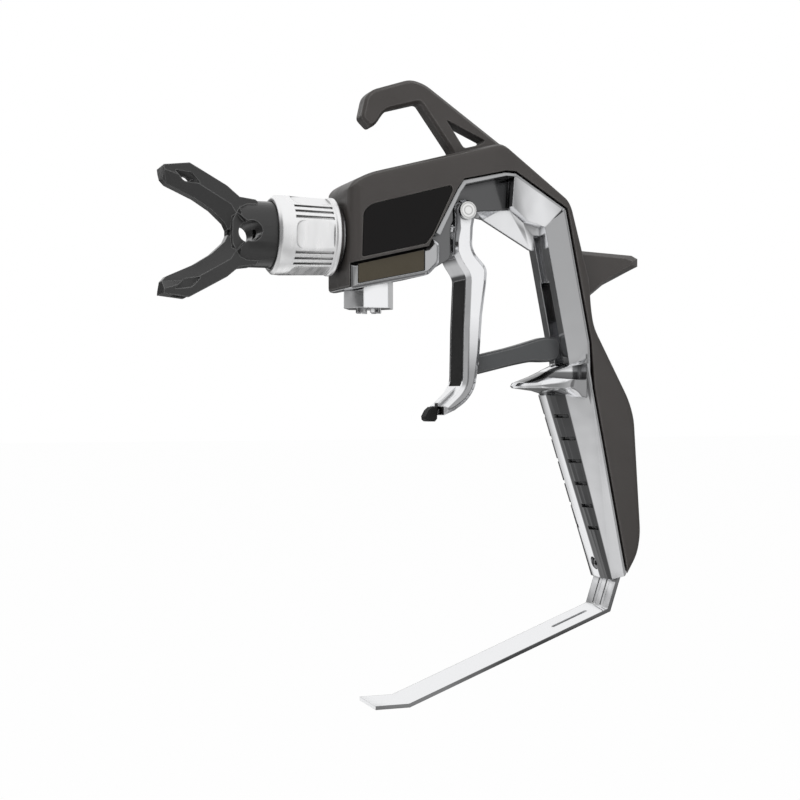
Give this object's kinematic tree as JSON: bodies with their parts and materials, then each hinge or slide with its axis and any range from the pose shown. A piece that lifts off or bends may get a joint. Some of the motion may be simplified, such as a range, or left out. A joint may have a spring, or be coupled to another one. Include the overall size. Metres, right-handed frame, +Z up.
{
  "type": "airless paint spray gun",
  "caption": "Hand-held airless paint spray gun: polished frame with a trigger window, black casing with a hanging hook, tip guard, lever lock and a flat guard strap under the grip.",
  "frame": {"origin": "middle of the hand grip, between its front and back", "axes": "-X is the spray direction, +Z is up along the height of the gun, +Y is the right-hand side of the gun"},
  "size_m": [0.2149, 0.034, 0.2644],
  "materials": {
    "polished": "polished, bright plated casting",
    "satin_alloy": "satin turned",
    "black_casing": "fine-grained satin moulding",
    "gloss_black": "high gloss",
    "label_bare": "smooth, bare",
    "lever_grey": "satin",
    "soft_black": "matt",
    "steel": "machined",
    "packing_white": "smooth"
  },
  "bodies": {
    "gun": {"frame": "polished", "casing_left": "black_casing", "casing_right": "black_casing", "side_panel": "gloss_black", "label_plate": "label_bare", "nozzle_adaptor": "steel", "valve_seat": "steel", "needle_packing": "packing_white", "needle_spring": "steel", "spring_cap": "steel", "inlet_fitting": "polished", "trigger_screw": "satin_alloy", "trigger_screw_nut": "satin_alloy", "guard_strap": "polished", "strap_screw": "steel", "casing_screw_1": "steel", "casing_screw_2": "steel", "casing_screw_3": "steel", "casing_screw_4": "steel", "casing_screw_5": "steel"},
    "nut": {"retaining_nut": "satin_alloy"},
    "guard": {"tip_guard": "black_casing", "tip_seal": "soft_black"},
    "needle": {"needle": "steel", "needle_nut": "steel"},
    "trigger": {"trigger": "polished", "trigger_pad": "soft_black", "trigger_tip": "soft_black", "lock_lever_pin": "steel"},
    "lock": {"lock_lever": "lever_grey"}
  },
  "joints": [
    {"name": "trigger_pull", "type": "hinge", "parent": "gun", "child": "trigger", "pos_m": [-0.0595, 0, 0.1125], "axis": [0, -1, 0], "range_deg": [0, 8], "stiffness_Nm_per_rad": 2, "springref_deg": -17.19},
    {"name": "lock_swing", "type": "hinge", "parent": "trigger", "child": "lock", "pos_m": [-0.0544, 0, 0.0477], "axis": [0, -1, 0], "range_deg": [0, 60]},
    {"name": "needle_slide", "type": "slide", "parent": "gun", "child": "needle", "axis": [1, 0, 0], "range_m": [0, 0.0018], "deforming": ["needle_spring"]},
    {"name": "nut_turn", "type": "hinge", "parent": "gun", "child": "nut", "pos_m": [-0.129, 0, 0.1], "axis": [-1, 0, 0], "continuous": true},
    {"name": "guard_turn", "type": "hinge", "parent": "gun", "child": "guard", "pos_m": [-0.144, 0, 0.1], "axis": [-1, 0, 0], "continuous": true}
  ],
  "couplings": [
    {"joint": "needle_slide", "follows": "trigger_pull", "m_per_rad": 0.0125}
  ]
}
